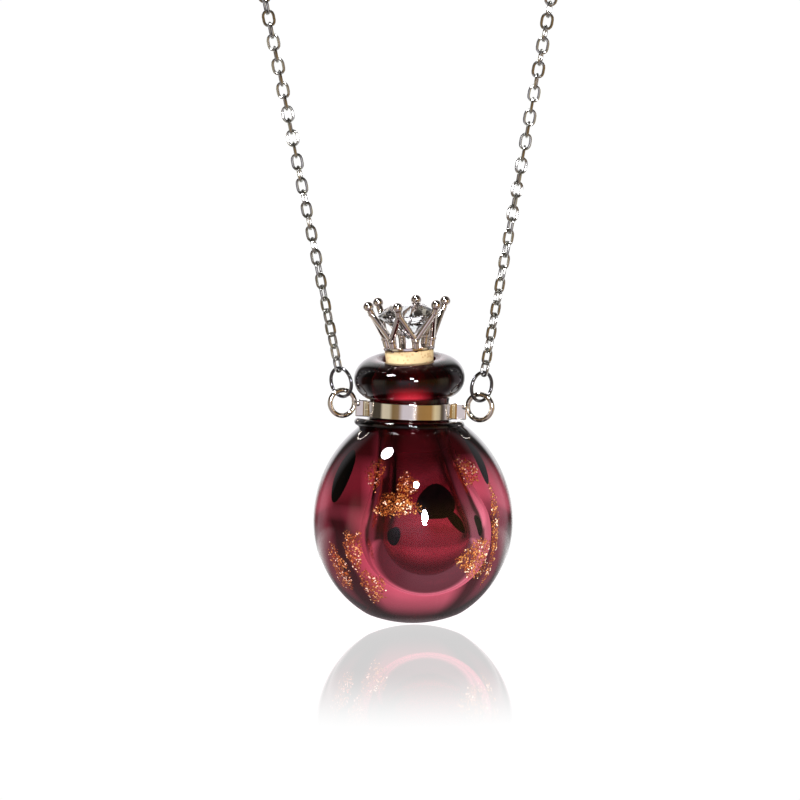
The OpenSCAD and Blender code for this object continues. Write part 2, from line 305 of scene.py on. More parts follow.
def metal(name, tone, shade, roughness, haze):
    """A polished metal: the haze group feeds colour and roughness."""
    material, shader = new_material(name)
    tree = material.node_tree
    group = tree.nodes.new("ShaderNodeGroup")
    group.node_tree = haze_group
    group.inputs["Tone"].default_value = (*tone, 1)
    group.inputs["Shade"].default_value = (*shade, 1)
    group.inputs["Roughness"].default_value = roughness
    group.inputs["Haze"].default_value = haze
    tree.links.new(group.outputs["Color"], shader.inputs["Base Color"])
    tree.links.new(group.outputs["Roughness"], shader.inputs["Roughness"])
    shader.inputs["Metallic"].default_value = 1.0
    return material


silver = metal("polished_silver", (0.98, 0.95, 0.88), (0.88, 0.82, 0.70), 0.05, 0.06)
crown_silver = metal("crown_silver", (0.98, 0.93, 0.93), (0.80, 0.70, 0.58), 0.04, 0.04)
chain_silver = metal("chain_silver", (0.62, 0.63, 0.59), (0.46, 0.47, 0.42), 0.12, 0.08)
# painted shade: the jump rings' silver is painted nearly black, standing in for the dark room mirrored in
# them
shaded_ring_silver = metal("ring_silver_painted_dark", (0.24, 0.24, 0.25), (0.15, 0.15, 0.16), 0.10, 0.06)
print("metals:", [m.name for m in (silver, crown_silver, chain_silver, shaded_ring_silver)])

# %% [markdown]
# The bottle is one piece of glass, blown hollow: a ball, a low ridge, a groove
# for the collar and a thick rounded lip. One skin runs from the bottom pole up
# the outside, over the lip and down the inside to the hollow's own pole. Each
# row is a circle with its own middle and tilt, because body, neck and lip were
# not blown quite in line, and the lip's crest dips a little towards the front.
# Light then bends in the true wall.

# %% Bottle
BODY_R, UPPER_R, LOWER_R, BASE_R, BASE_DROP = 12.5, 15.1, 13.5, 15.1, 12.8
BODY_CUT, NECK_R, RIDGE_R, RIDGE_SEC, RIDGE_UP = 11.9, 4.88, 6.42, 0.5, -1.68
LIP_R, LIP_SEC, LIP_DIP = 4.35, 2.6, 0.24
MOUTH_R, MOUTH_DEPTH, RIM_UNDER_CREST = 3.24, 5.4, 0.85
HOLLOW_R, HOLLOW_X, HOLLOW_DROP, BORE_R = 5.5, 1.1, 1.1, 3.1
SHOULDER_ANGLE, SHOULDER_PULL, BORE_END = 21, 3.4, 4
AXES_MEET = 2  # the hollow's own axis leans, and meets the bore's this far under the collar


def arc(cx, cz, r, start, end, n):
    """Points of a circle's arc, from one angle to another, as radius and height."""
    a = np.radians(np.linspace(start, end, n))
    return np.stack([cx + r * np.cos(a), cz + r * np.sin(a)], 1)


def body_rows():
    """Outside of the ball: flatter arc at the bottom, rounder one above it, then the upper arc."""
    r = BODY_R * np.sin(np.linspace(0, np.pi / 2, 44)[:-1])
    low = np.maximum(BASE_R - BASE_DROP - np.sqrt(BASE_R**2 - r**2),
                     -np.sqrt(LOWER_R**2 - (r + LOWER_R - BODY_R)**2))
    top = arc(BODY_R - UPPER_R, 0, UPPER_R, 0, np.degrees(np.arcsin(BODY_CUT / UPPER_R)), 34)
    return np.vstack([np.stack([r, low], 1), top])


def hollow_rows():
    """Inside, in the hollow's own frame: a smooth shoulder, then the round hollow down to its pole.

    The shoulder is a curve of four points: each weighs in by its share of (t + (1 - t)) cubed.
    """
    t = np.linspace(0, 1, 26)[:-1, None]
    start = np.array([BORE_R, NECK_RISE + HOLLOW_DROP - BORE_END])
    hollow = arc(0, 0, HOLLOW_R, SHOULDER_ANGLE, -90, 48)
    slope = np.radians(SHOULDER_ANGLE)
    down = start - [0, SHOULDER_PULL]
    out = hollow[0] + SHOULDER_PULL * np.array([-np.sin(slope), np.cos(slope)])
    shoulder = (1 - t)**3 * start + 3 * (1 - t)**2 * t * down + 3 * (1 - t) * t**2 * out + t**3 * hollow[0]
    return np.vstack([shoulder, hollow])


def rows_to_points(rows, matrix, place, around=128):
    """Circles of a profile about a tilted axis: turned about Z, then tilted and moved."""
    u = np.linspace(0, 2 * np.pi, around, endpoint=False)[None]
    r, h = rows[:, :1], rows[:, 1:]
    grid = np.stack([r * np.cos(u), r * np.sin(u), h + 0 * u], -1)
    return grid @ np.asarray(matrix).T + place


def lip_points():
    """Lip's circles: above its middle, the height grows by a share of the distance to the back."""
    grid = rows_to_points(arc(LIP_R, 0, LIP_SEC, -76, 112, 40), np.eye(3), np.zeros(3))
    grid[..., 2] += np.maximum(grid[..., 2], 0) * LIP_DIP * grid[..., 1] / LIP_R
    return grid @ turn("y", -LIP_TILT).T + collar_mid + [0, 0, LIP_UP]


def bottle_grid():
    """All rows in order: outside upwards, over the lip, mouth, bore and hollow downwards.

    Groove and bore are radius and height over the collar's middle, the mouth over the stopper's seat.
    """
    ridge = arc(RIDGE_R, RIDGE_UP, RIDGE_SEC, -35, 88, 12)
    groove = np.array([[5.6, -1.22], [5.08, -1.21], [4.92, -1.15],
                       [NECK_R, -1.0], [NECK_R, 0], [NECK_R, 1.0]])
    mouth = np.array([[3.27, 0.35], [MOUTH_R, 0.15], [MOUTH_R, -2.4], [MOUTH_R, -MOUTH_DEPTH]])
    mouth[:2, 1] += LIP_UP + LIP_SEC - SEAT_UP - RIM_UNDER_CREST
    bore = np.array([[BORE_R, 2.0], [BORE_R, 0.5], [BORE_R, -1.5], [BORE_R, -3.4]])
    lean = -np.degrees(np.arctan((HOLLOW_X + BODY_SHIFT) / (NECK_RISE + HOLLOW_DROP - AXES_MEET)))
    return np.vstack([
        rows_to_points(body_rows(), np.eye(3), body_mid),
        rows_to_points(np.vstack([ridge, groove]), collar_turn, collar_mid),
        lip_points(),
        rows_to_points(mouth, stopper_turn, seat),
        rows_to_points(bore, np.eye(3), collar_mid),
        rows_to_points(hollow_rows(), turn("y", lean), body_mid + [HOLLOW_X, 0, -HOLLOW_DROP]),
    ])


# %% [markdown]
# The glass is clear, and its burgundy comes from depth: light that crosses more
# glass comes out darker and redder. So part of the colour sits in the volume, as
# an absorption that takes green first, then blue. The rest is the surface's own
# colour, picked by height and by the distance to the hollow and to the bore:
# darker glass round the hollow and the bore, and over the outside a painted shade
# that darkens the neck, the lip and the upper left.

# %% Where the stain and the painted shade lie
GLASS_TALL = 21  # from the ball's widest line to just past the lip
HOLLOW_EDGE, BORE_EDGE, NECK_EDGE = (6.4, 7.4), (3.8, 4.2), (4.2, 4.6)  # radii where each one starts and ends
glass, shader = new_material("burgundy_glass")
tree = glass.node_tree
place = object_place(tree)
split = add(tree, "ShaderNodeSeparateXYZ", Vector=place)


def height_share(start, end, low=0.0, high=1.0):
    """How far a point's height lies between two heights over the ball's widest line."""
    return ranged(tree, split.outputs["Z"], (body_mid[2] + start) * MM, (body_mid[2] + end) * MM, low, high)


def by_height(stops):
    """A ramp over the glass's height, from heights and colours."""
    return ramp_node(tree, height_share(0, GLASS_TALL), [(h / GLASS_TALL, color) for h, color in stops])


def distance(start, end):
    """Distance between two places, in metres."""
    return add(tree, "ShaderNodeVectorMath", {"operation": "DISTANCE"}, _0=start, _1=end).outputs["Value"]


def within(value, edge, smooth=False):
    """One below an edge's start in millimetres, nothing past its end."""
    return ranged(tree, value, edge[0] * MM, edge[1] * MM, 1.0, 0.0, smooth)


hollow_mid = body_mid + [HOLLOW_X, 0, -HOLLOW_DROP]
flat_place = add(tree, "ShaderNodeVectorMath", {"operation": "MULTIPLY"}, _0=place, _1=(1, 1, 0)).outputs[0]
from_axis = distance(flat_place, (collar_mid[0] * MM, 0, 0))
in_hollow = within(distance(place, tuple(hollow_mid * MM)), HOLLOW_EDGE)
in_bore = calc(tree, "MULTIPLY", within(from_axis, BORE_EDGE), height_share(4, 6))
inside = calc(tree, "MAXIMUM", in_hollow, in_bore)
# painted shade: two dark shoulders beside the neck, a dark band at the upper left and a darker left side
sideways = calc(tree, "ABSOLUTE", calc(tree, "SUBTRACT", split.outputs["X"], collar_mid[0] * MM), 0.0)
shoulder = calc(tree, "MULTIPLY", ranged(tree, sideways, 2.2 * MM, 5.0 * MM, smooth=True),
                height_share(6.5, 9.0))
left_band_shade = height_share(1.0, 3.0)
for axis, start, end in (("X", -5.0, -6.5), ("X", -10.9, -9.8), ("Y", 0.5, -1.5)):
    left_band_shade = calc(tree, "MULTIPLY", left_band_shade, ranged(tree, split.outputs[axis], start * MM, end * MM))
left_side_shade = ranged(tree, split.outputs["X"], -2.0 * MM, -6.0 * MM)
print("hollow's middle at", np.round(hollow_mid, 2))

# %% [markdown]
# With the zones known, the colours follow. The outside gets darker up to the
# collar and is a deep red on the lip: the glass's tint with painted shade over it,
# and a brighter band at the lip's foot that is painted light. The left side is a
# shade darker, and a dark band at the upper left and two near-black shoulders are
# laid over both, all painted shade. The bore's wall was drawn with a rod, so it is
# a little rough. The foot of the lip gathers light from all sides and glows red:
# a painted glow, a faint light of its own, stands in for that, only on the outside
# and only round the middle. Backfacing tells the outside of the glass from the
# inside.

# %% Burgundy glass
# painted shade: the outside darkens up to the collar and on the lip; the brighter band at the lip's foot is
# painted light
outer_tint_and_shade = by_height([
    (2.0, (1.0, 0.96, 0.97)), (6.0, (0.46, 0.22, 0.26)), (8.5, (0.11, 0.03, 0.04)),
    (13.0, (0.08, 0.02, 0.03)), (15.6, (0.70, 0.12, 0.15)), (16.6, (0.22, 0.008, 0.012)),
    (18.8, (0.20, 0.006, 0.010)), (20.6, (0.30, 0.20, 0.24))])
inner = by_height([
    (2.0, (0.31, 0.065, 0.09)), (8.0, (0.13, 0.02, 0.03)), (12.0, (0.03, 0.005, 0.006)),
    (15.5, (0.10, 0.004, 0.006))])
# painted shade: the left side darker, then the dark left band and the near-black shoulders laid over it
outer_tint_and_shade = blend(tree, left_side_shade, outer_tint_and_shade, (0.62, 0.36, 0.42, 1), "MULTIPLY")
outer_tint_and_shade = blend(tree, left_band_shade, outer_tint_and_shade, (0.05, 0.008, 0.012, 1))
outer_tint_and_shade = blend(tree, shoulder, outer_tint_and_shade, (0.003, 0.0002, 0.0003, 1))
tree.links.new(blend(tree, inside, outer_tint_and_shade, inner), shader.inputs["Base Color"])
tree.links.new(calc(tree, "MULTIPLY", inside, height_share(2, 8, 0.0, 0.30)), shader.inputs["Roughness"])
low_rim = by_height([
    (15.35, (0, 0, 0)), (15.7, (0.62, 0.03, 0.055)), (16.3, (0.34, 0.012, 0.02)), (17.1, (0.03, 0, 0)),
    (17.6, (0, 0, 0))])
outside = ranged(tree, from_axis, NECK_EDGE[0] * MM, NECK_EDGE[1] * MM)
from_outside = calc(tree, "SUBTRACT", 1.0, add(tree, "ShaderNodeNewGeometry").outputs["Backfacing"])
glow = calc(tree, "MULTIPLY", within(sideways, (0.3, 3.2), smooth=True), outside, from_outside)
tree.links.new(blend(tree, glow, (0, 0, 0, 1), low_rim), shader.inputs["Emission Color"])
shader.inputs["Emission Strength"].default_value = 1.0
shader.inputs["Transmission Weight"].default_value = 1.0
shader.inputs["IOR"].default_value = 1.5
dye = add(tree, "ShaderNodeVolumeAbsorption", Color=(0.775, 0.22, 0.36, 1), Density=150.0)
tree.links.new(dye.outputs["Volume"], tree.nodes["Material Output"].inputs["Volume"])
piece("bottle_glass", [skin(bottle_grid())], "pendant", glass, ["bottle"], 50)

# %% [markdown]
# Copper-gold sand lies in patches just under the skin of the glass. A patch is
# not paint but a cloud of tiny flakes, and each flake throws light its own way,
# which gives the sparkle, helped by a painted glint: each grain also gives off a
# faint light of its own. So each patch is a few hundred thin six-sided plates,
# scattered in the wall and tilted at random. They come in two sorts: dense small
# copper grains, and over them fewer, larger and brighter gold ones.

# %% Gold sand patches
FLAKE_SIDES = 6
FLAKE_RISE = 0.16  # how far its middle stands out, against its radius


def flake():
    """A thin six-sided plate with a raised middle on both faces, as one closed grid."""
    a = np.linspace(0, 2 * np.pi, FLAKE_SIDES, endpoint=False)[None]
    r = np.array([0, 1, 0])[:, None]
    h = np.array([-FLAKE_RISE, 0, FLAKE_RISE])[:, None]
    return skin(np.stack([r * np.cos(a), r * np.sin(a), h + 0 * a], -1))


def wall_radius(height):
    """Radius of the ball's outside at a height above its widest line."""
    h = np.asarray(height, float)
    up = BODY_R - UPPER_R + np.sqrt(UPPER_R**2 - np.maximum(h, 0)**2)
    low = BODY_R - LOWER_R + np.sqrt(np.maximum(LOWER_R**2 - np.minimum(h, 0)**2, 0.01))
    base = np.sqrt(np.maximum(BASE_R**2 - (np.minimum(h, 0) - BASE_R + BASE_DROP)**2, 0.01))
    return np.where(h > 0, up, np.minimum(low, base))


def in_wall(angle, height, depth):
    """Place under the glass skin: by angle round the ball from straight ahead, height and depth."""
    a = np.radians(angle)
    r = wall_radius(height) - depth
    return np.stack([r * np.sin(a), -r * np.cos(a), height + 0 * a], -1) + body_mid


PATCHES = [
    # angle to the right, height, half width, half height, tilt
    (-26, 6.9, 1.25, 1.75, 4), (-10, 3.0, 2.8, 1.35, 0), (-4, 5.5, 1.3, 1.4, 0), (40, 7.0, 1.5, 1.9, -18),
    (-38, -2.5, 1.4, 2.4, 0), (-54, -5.0, 1.5, 2.8, -10), (-30, -7.1, 1.6, 2.0, 0),
    (41, -3.8, 2.3, 2.4, 25), (56, -0.8, 0.7, 6.3, 0),
    (112, 6.5, 2.0, 1.7, 0), (-112, -4.5, 1.6, 2.3, 20), (100, -5.5, 1.5, 2.1, 0),
    (-98, 2.5, 1.4, 2.2, -10),
]


def patch(angle, height, half_w, half_h, tilt, per_mm2, small, large, top, wild):
    """Flakes thrown over an uneven oval: distance by the root of a random share, edge by three waves."""
    count = int(per_mm2 * np.pi * half_w * half_h)
    way = rng.uniform(0, 2 * np.pi, count)
    edge = 1 + 0.16 * np.sin(3 * way + angle) + 0.1 * np.sin(5 * way + height) + rng.normal(0, 0.08, count)
    far = np.sqrt(rng.uniform(0, 1, count)) * edge
    c, s = np.cos(np.radians(tilt)), np.sin(np.radians(tilt))
    u, v = half_w * far * np.cos(way), half_h * far * np.sin(way)
    across, up = c * u + s * v, -s * u + c * v
    h = height + up
    places = in_wall(angle + np.degrees(across / wall_radius(height)), h, top + rng.uniform(0, 0.3, count))
    out = (places - body_mid) / np.linalg.norm(places - body_mid, axis=1, keepdims=True)
    z = out + rng.normal(0, wild, (count, 3))
    z /= np.linalg.norm(z, axis=1, keepdims=True)
    x = np.cross(z, rng.normal(0, 1, (count, 3)))
    x /= np.linalg.norm(x, axis=1, keepdims=True)
    size = rng.uniform(small, large, count)[:, None, None]
    return copies(flake(), np.stack([x, np.cross(z, x), z], -1) * size, places)


def sand(name, dark, mid, light, glow, scale):
    """Gold with a tone and a painted glint, a glow of its own, in every small cell, so that each grain
    differs.
    """
    material, shader = new_material(name)
    tree = material.node_tree
    cells = add(tree, "ShaderNodeTexVoronoi", Vector=object_place(tree), Scale=scale)
    pick = add(tree, "ShaderNodeSeparateColor", Color=cells.outputs["Color"])
    tree.links.new(ramp_node(tree, pick.outputs["Red"], [(0.0, dark), (0.5, mid), (1.0, light)]),
                   shader.inputs["Base Color"])
    tree.links.new(ramp_node(tree, pick.outputs["Green"], glow), shader.inputs["Emission Color"])
    shader.inputs["Emission Strength"].default_value = 1.0
    shader.inputs["Metallic"].default_value = 0.9
    shader.inputs["Roughness"].default_value = 0.25
    return material


# painted glints: each grain gives off light of its own, faint for copper, bright for gold
COPPER_PAINTED_GLINT = [(0.0, (0.01, 0.002, 0.0)), (0.5, (0.16, 0.045, 0.008)), (1.0, (0.42, 0.15, 0.03))]
GOLD_PAINTED_GLINT = [(0.0, (0.35, 0.13, 0.02)), (0.5, (0.75, 0.36, 0.08)), (0.75, (1.1, 0.75, 0.32)),
             (0.8, (1.6, 1.45, 1.1))]
copper_sand = sand("copper_sand", (0.40, 0.10, 0.02), (0.75, 0.28, 0.06), (0.95, 0.5, 0.15),
                   COPPER_PAINTED_GLINT, 5000.0)
gold_sparks = sand("gold_sparks", (0.9, 0.45, 0.12), (1.0, 0.62, 0.22), (1.0, 0.8, 0.5),
                   GOLD_PAINTED_GLINT, 1500.0)
GRAINS = {  # piece: material, flakes to the square millimetre, smallest, largest, depth, tilt
    "gold_sand": (copper_sand, 58, 0.04, 0.10, 0.35, 0.5),
    "gold_sparks": (gold_sparks, 8, 0.07, 0.12, 0.12, 0.22),
}
for name, (material, *sizes) in GRAINS.items():
    piece(name, [patch(*p, *sizes) for p in PATCHES], "pendant", material, sharp=20)

# %% [markdown]
# A few drops of nearly black glass are melted into the wall between the gold
# patches. Each is a flat rounded drop that follows the ball: a disc whose
# thickness falls to nothing at its wavy edge.

# %% Dark drops in the wall
DROPS = [
    # angle to the right, height, half width, half height, tilt, depth
    (14, 3.3, 2.3, 2.3, 0, 0.7), (26, 0.9, 0.6, 1.8, -45, 0.7), (-12, -0.7, 0.85, 1.15, 0, 1.5),
    (-54, 6.2, 1.5, 3.2, 10, 0.7), (56, 8.2, 0.8, 3.0, 0, 0.6), (98, 0.5, 1.8, 2.2, 0, 0.8),
    (-130, 4.5, 2.0, 2.2, 10, 0.8),
]
DROP_THICK = 0.22  # half of it, in the middle


def drop(angle, height, half_w, half_h, tilt, depth, around=48, steps=9):
    """Two domes back to back: distance from the middle by steps, thickness by the root of what is left."""
    far = np.concatenate([np.linspace(0, 1, steps), np.linspace(1, 0, steps)[1:]])[:, None]
    side = np.concatenate([np.ones(steps - 1), [0], -np.ones(steps - 1)])[:, None]
    way = np.linspace(0, 2 * np.pi, around, endpoint=False)[None]
    edge = 1 + 0.10 * np.sin(2 * way + angle) + 0.06 * np.sin(3 * way + height)
    c, s = np.cos(np.radians(tilt)), np.sin(np.radians(tilt))
    u, v = half_w * far * edge * np.cos(way), half_h * far * edge * np.sin(way)
    across, up = c * u + s * v, -s * u + c * v
    thick = side * DROP_THICK * np.sqrt(np.maximum(0, 1 - far**2)) + 0 * way
    return skin(in_wall(angle + np.degrees(across / wall_radius(height)), height + up, depth - thick))


dark_glass, shader = new_material("dark_glass")
tree = dark_glass.node_tree
cloud = add(tree, "ShaderNodeTexNoise", Vector=object_place(tree), Scale=900.0, Detail=3.0)
tree.links.new(blend(tree, cloud.outputs["Fac"], (0.001, 0.0005, 0.001, 1), (0.012, 0.002, 0.004, 1)),
               shader.inputs["Base Color"])
shader.inputs["Roughness"].default_value = 0.5
shader.inputs["Specular IOR Level"].default_value = 0.0
piece("dark_drops", [drop(*d) for d in DROPS], "pendant", dark_glass)

# %% [markdown]
# The collar is a strip bent round the neck. Its ends turn out into two flat
# tabs, and a bead of solder holds a wire loop to each. The band and tabs are one
# outline seen from above, carried up the strip's height with soft edges.

# %% Collar
BAND_R, BAND_T, BAND_H, TAB_T, BEND_R, BEAD_R = 5.45, 0.4, 2.05, 0.9, 0.6, 0.56
EDGE, TAB_EDGE, TAB_GAP, INNER_EDGE, INNER_LIFT = 0.1, 0.12, 0.04, 0.06, 0.012
TAB_BITE = 0.15  # how far a tab reaches into the loop's wire
tab_end = SIDE_LOOP_R * np.cos(np.radians(SIDE_TURN)) + SIDE_WIRE_R - TAB_BITE


def collar_outline():
    """Outline of one side, from the tab's end over its bend to the band's middle, then all its mirrors."""
    half = TAB_T / 2
    bend_x, bend_y = np.sqrt((BAND_R + BEND_R)**2 - (half + BEND_R)**2), half + BEND_R
    slope = np.degrees(np.arctan2(bend_y, bend_x))

    def quarter(reach):
        """From the tab's middle round its soft corner, along its side and the bend, to the band's front."""
        flat = np.array([[reach, 0], [reach, half - TAB_EDGE], [reach - TAB_EDGE / 4, half - TAB_EDGE / 4],
                         [reach - TAB_EDGE, half], [reach - TAB_EDGE - TAB_GAP, half],
                         [bend_x + TAB_GAP, half]])
        cove = arc(bend_x, bend_y, BEND_R, 270, 180 + slope, 8)
        return np.vstack([flat, cove, arc(0, 0, BAND_R, slope, 90, 40)[1:]])

    right, left = quarter(RIGHT_LOOP_X - tab_end), quarter(LEFT_LOOP_X - tab_end)[::-1] * [-1, 1]
    front = np.vstack([right, left[1:]])
    return np.vstack([front, front[-2:0:-1] * [1, -1]])


def band():
    """Rows of the outline: pulled in at the soft edges, and a plain circle for the inner wall."""
    line = collar_outline()
    along = np.roll(line, -1, 0) - np.roll(line, 1, 0)
    out = np.stack([along[:, 1], -along[:, 0]], 1) / np.linalg.norm(along, axis=1, keepdims=True)
    inner = line / np.linalg.norm(line, axis=1, keepdims=True) * (BAND_R - BAND_T)
    h = BAND_H / 2
    soft = [(EDGE, -h), (EDGE * 0.3, -h + EDGE * 0.3), (0, -h + EDGE), (0, -h + 1.3 * EDGE),
            (0, h - 1.3 * EDGE), (0, h - EDGE), (EDGE * 0.3, h - EDGE * 0.3), (EDGE, h)]
    wall = [(INNER_LIFT, h), (0, h - INNER_EDGE), (0, 0), (0, INNER_EDGE - h), (INNER_LIFT, -h)]
    rows = [np.column_stack([line - out * pull, np.full(len(line), z)]) for pull, z in soft]
    rows += [np.column_stack([inner * (1 + lift), np.full(len(line), z)]) for lift, z in wall]
    return skin(np.array(rows), close_rows=True)


def collar_parts():
    """The band, and at each side the loop of wire and its bead of solder."""
    parts = [band()]
    for side, loop_x in ((-1, LEFT_LOOP_X), (1, RIGHT_LOOP_X)):
        parts.append(placed(ring(SIDE_LOOP_R, SIDE_WIRE_R, 72, 20), turn("z", -side * SIDE_TURN),
                            [side * loop_x, 0, LOOP_UP]))
        parts.append(ball([side * (loop_x - SIDE_LOOP_R - SIDE_WIRE_R), 0, LOOP_UP], BEAD_R))
    return [placed(p, collar_turn, collar_mid) for p in parts]


piece("collar_silver", collar_parts(), "pendant", silver, ["collar"])

# %% [markdown]
# Cork is soft and pale, cut to a taper with a small chamfer at each end. Fine
# tan pores and a few larger ones break its surface, and they are also a little
# deeper than the rest.

# %% Cork
CORK_R, CORK_END_R, CORK_LEN, CORK_GAP = 3.06, 2.74, 5.0, 0.05
cork, shader = new_material("pale_cork")
tree = cork.node_tree
place = object_place(tree)
pores = add(tree, "ShaderNodeTexVoronoi", Vector=place, Scale=2200.0)
cloud = add(tree, "ShaderNodeTexNoise", Vector=place, Scale=900.0, Detail=4.0)
grain = calc(tree, "MULTIPLY", pores.outputs["Distance"], cloud.outputs["Fac"])
bump = add(tree, "ShaderNodeBump", Height=grain, Strength=0.3, Distance=0.0001)
tree.links.new(ramp_node(tree, grain, [(0.05, (0.70, 0.46, 0.20)), (0.22, (0.95, 0.74, 0.38))]),
               shader.inputs["Base Color"])
tree.links.new(bump.outputs["Normal"], shader.inputs["Normal"])
shader.inputs["Roughness"].default_value = 0.7
profile = np.array([[0, 0], [CORK_END_R - 0.25, 0], [CORK_END_R - 0.06, 0.07], [CORK_END_R, 0.25],
                    [(CORK_R + CORK_END_R) / 2, CORK_LEN / 2], [CORK_R, CORK_LEN - 0.12],
                    [CORK_R - 0.05, CORK_LEN - 0.03], [CORK_R - 0.14, CORK_LEN], [0, CORK_LEN]])
cork_body = turned(profile[:, 0], profile[:, 1] - CORK_LEN - CORK_GAP, 96)
piece("cork_body", [placed(cork_body, stopper_turn, seat)], "stopper", cork, ["cork"])

# %% [markdown]
# The crown is cast in one piece. Pairs of legs rise from a round base, spread
# outwards and meet under a ball at each of the six points. Neighbouring legs
# share their foot, so each point shows a tall drop-shaped opening.

# %% Crown
PRONGS, PRONG_START = 6, 13.7
BASE_PLATE_R, BASE_T, VALLEY_Z, VALLEY_R = 3.25, 0.4, 1.3, 3.0
APEX_Z, APEX_R, LEG_R, TIP_Z, TIP_RING_R, TIP_R = 4.65, 4.62, 0.34, 5.65, 5.0, 0.62
PLATE_EDGE = 0.08
FOOT_R, FOOT_TOP_R, VALLEY_BALL_R, APEX_BALL_R, TIP_ROD_R = 0.5, 0.48, 0.54, 0.44, 0.42
POLISH = 0.03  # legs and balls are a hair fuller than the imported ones, as a cast and polished crown is


def ring_point(r, angle, z):
    """A point on a circle, by its angle in degrees, at a height."""
    return np.array([r * np.cos(np.radians(angle)), r * np.sin(np.radians(angle)), z])


def crown_parts():
    """The base plate, and for each point its two legs, foot, joints and ball, set round the axis."""
    rim, e = BASE_PLATE_R, PLATE_EDGE
    plate = [[0, 0], [rim - e, 0], [rim, e], [rim, BASE_T - e], [rim - e, BASE_T], [0, BASE_T]]
    parts = [turned(*np.array(plate).T, 72)]
    step = 360 / PRONGS
    for i in range(PRONGS):
        angle = i * step - 90 - PRONG_START
        apex, tip = ring_point(APEX_R, angle, APEX_Z), ring_point(TIP_RING_R, angle, TIP_Z)
        before, valley = (ring_point(VALLEY_R, angle + s * step / 2, VALLEY_Z) for s in (-1, 1))
        foot = ring_point(BASE_PLATE_R - FOOT_R, angle + step / 2, BASE_T / 2)
        parts += [rod(low, apex, LEG_R + 2 * POLISH, LEG_R + 0.02) for low in (before, valley)]
        parts += [rod(foot, valley, FOOT_R, FOOT_TOP_R), ball(valley, VALLEY_BALL_R, 24),
                  ball(apex, APEX_BALL_R, 24), rod(apex, tip, TIP_ROD_R, TIP_ROD_R),
                  ball(tip, TIP_R + POLISH)]
    return [placed(p, stopper_turn, seat) for p in parts]


piece("crown_silver", crown_parts(), "stopper", crown_silver, ["crown"])

# %% [markdown]
# The clear stone sits low between the points. It is cut flat, so the packed
# model's facets are already right and it only needs its own glass: colourless,
# quite free of haze, and bending light more than window glass does.

# %% Stone
stone, shader = new_material("clear_stone")
tree = stone.node_tree
shader.inputs["Transmission Weight"].default_value = 1.0
shader.inputs["IOR"].default_value = 1.9
shader.inputs["Roughness"].default_value = 0.0
cloud = add(tree, "ShaderNodeTexNoise", Vector=object_place(tree), Scale=700.0)
tree.links.new(blend(tree, cloud.outputs["Fac"], (0.97, 0.98, 1.0, 1), (0.90, 0.92, 0.95, 1)),
               shader.inputs["Base Color"])
stone_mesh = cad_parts["stone"].data
stone_mesh.materials.clear()
stone_mesh.materials.append(stone)
print("stone facets:", len(stone_mesh.polygons))

# %% [markdown]
# Each strand is a cable chain: oval links of round wire, every second one turned
# against its neighbours, so that each passes through the next. A link is made
# once, with few faces because it is repeated 240 times, and copied along the
# loop. Towards the bottom the strand twists, so both sorts of link show alike,
# and no link hangs quite in line, so each catches the light a little differently.

# %% Chains
LINKS, LINK_WIRE, LINK_W, LINK_SLACK, LINK_TURN, END_TWIST, TWIST_RUN = 120, 0.3, 1.6, 0.1, 75, 50, 45
CLASP_LEN, CLASP_R, CLASP_RING_R, CLASP_WIRE_R = 7, 1.3, 1.06, 0.22
LINK_PLAY = 6  # each link hangs this many degrees out of line at most
LINK_POLISH = 0.03  # the wire is a hair thicker here, and the links still clear each other
jump_up = JUMP_R - (SIDE_WIRE_R + JUMP_WIRE_R + JUMP_SLACK)
last_hook = jump_up + JUMP_R - LINK_WIRE / 2 - JUMP_WIRE_R - LINK_SLACK
clasp_reach = CLASP_LEN / 2 + 2 * CLASP_RING_R - CLASP_WIRE_R
clasp_hook = clasp_reach - CLASP_WIRE_R - LINK_WIRE / 2 - LINK_SLACK
link_pitch = (half_len - last_hook - clasp_hook - LINK_WIRE - LINK_SLACK) / LINKS
link_len = link_pitch + 2 * LINK_WIRE + LINK_SLACK


def link(across=8, bend=8):
    """An oval of round wire: two half circles and two straight sides, with the wire's circle round it."""
    bend_r, side = (LINK_W - LINK_WIRE) / 2, (link_len - LINK_W) / 2
    a = np.radians(np.concatenate([np.linspace(0, 180, bend), np.linspace(180, 360, bend)]))[:, None]
    v = np.linspace(0, 2 * np.pi, across, endpoint=False)[None]
    lift = np.repeat([side, -side], bend)[:, None]
    wire_r = LINK_WIRE / 2 + LINK_POLISH
    out = bend_r + wire_r * np.cos(v)
    y = wire_r * np.sin(v) + 0 * a
    return skin(np.stack([out * np.cos(a), y, lift + out * np.sin(a)], -1), True)


def strand(side):
    """The link at even steps down the loop, rolled by its turn, the twist at the end and a little play."""
    i = np.arange(LINKS)
    first = clasp_hook + (link_len - LINK_WIRE) / 2
    along = first + i * link_pitch
    twist = END_TWIST * np.maximum(0, 1 - (along[-1] - along) / TWIST_RUN)
    places, leans = on_loop(side * along + loop_slip)
    rolls = side * (twist + LINK_TURN * (i % 2)) + rng.uniform(-LINK_PLAY, LINK_PLAY, LINKS)
    turns = np.array([turn("y", lean) @ turn("z", roll) for lean, roll in zip(leans, rolls)])
    return copies(link(), turns, places)


def jump_ring(side):
    """A ring of wire on the strand's line, turned about it."""
    place, lean = on_loop(side * (half_len - jump_up) + loop_slip)
    return placed(ring(JUMP_R, JUMP_WIRE_R), turn("y", lean) @ turn("z", side * JUMP_TURN), place)


for side, word in ((-1, "left"), (1, "right")):
    piece(f"links_{word}", [strand(side)], "necklace", chain_silver, [f"chain_{word}"])
    piece(f"ring_{word}", [jump_ring(side)], "necklace", shaded_ring_silver, [f"jump_ring_{word}"])
print(f"link {link_len:.2f} mm long, one every {link_pitch:.3f} mm")

# %% [markdown]
# The clasp lies behind the neck, out of the picture. It is a plain barrel with
# rounded shoulders and a ring at each end for the last links.

